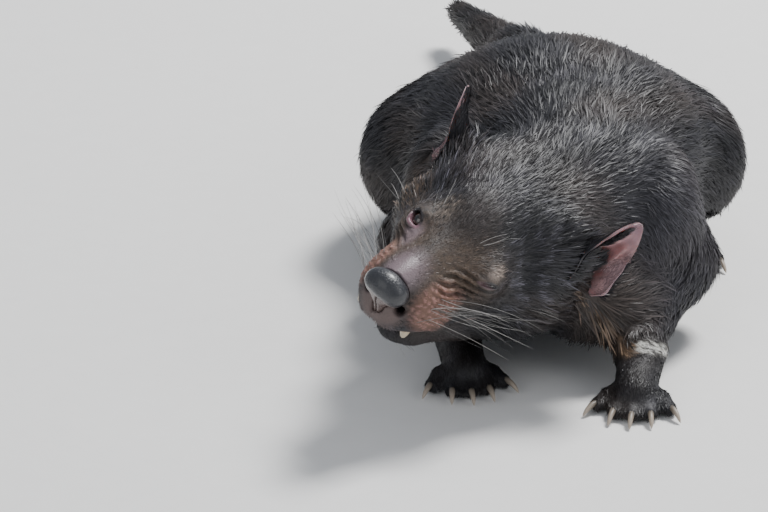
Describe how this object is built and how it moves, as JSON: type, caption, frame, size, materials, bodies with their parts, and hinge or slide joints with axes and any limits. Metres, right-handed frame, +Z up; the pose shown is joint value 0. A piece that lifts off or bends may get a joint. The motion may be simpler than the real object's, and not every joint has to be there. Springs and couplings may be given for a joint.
{
  "type": "life-size tasmanian devil figure",
  "caption": "Life-size still figure of a crouching carnivorous marsupial, head turned low and mouth ajar, that stands on its four feet as a museum or set-dressing model.",
  "frame": {"origin": "centre of the figure's box in plan, at the floor that its feet stand on", "axes": "+X to the animal's left, +Y from its head to its tail, +Z up from the floor"},
  "size_m": [0.2708, 0.6626, 0.1824],
  "materials": {
    "coat": "short dense blackish-brown fur with a cool sheen, tan ruff strands and a white chest mark",
    "ear_skin": "thin bare pink skin, soft satin",
    "nose_leather": "moist grainy blue-black nose leather",
    "eye": "wet glossy dark brown eye",
    "claw_horn": "worn satin horn of the claws, and the ivory of the teeth",
    "wet_flesh": "wet pink flesh"
  },
  "bodies": {
    "root": {"head": "coat", "neck": "coat", "torso": "coat", "tail": "coat", "jaw": "coat", "nose": "nose_leather", "tongue": "wet_flesh", "eye_left": "eye", "ear_left": "ear_skin", "foreleg_left": "coat", "forepaw_left": "coat", "claw_forepaw_left_1": "claw_horn", "claw_forepaw_left_2": "claw_horn", "claw_forepaw_left_3": "claw_horn", "claw_forepaw_left_4": "claw_horn", "claw_forepaw_left_5": "claw_horn", "hindleg_left": "coat", "hindfoot_left": "coat", "claw_hindfoot_left_1": "claw_horn", "claw_hindfoot_left_2": "claw_horn", "claw_hindfoot_left_3": "claw_horn", "claw_hindfoot_left_4": "claw_horn", "eye_right": "eye", "ear_right": "ear_skin", "foreleg_right": "coat", "forepaw_right": "coat", "claw_forepaw_right_1": "claw_horn", "claw_forepaw_right_2": "claw_horn", "claw_forepaw_right_3": "claw_horn", "claw_forepaw_right_4": "claw_horn", "claw_forepaw_right_5": "claw_horn", "hindleg_right": "coat", "hindfoot_right": "coat", "claw_hindfoot_right_1": "claw_horn", "claw_hindfoot_right_2": "claw_horn", "claw_hindfoot_right_3": "claw_horn", "claw_hindfoot_right_4": "claw_horn"}
  },
  "joints": []
}
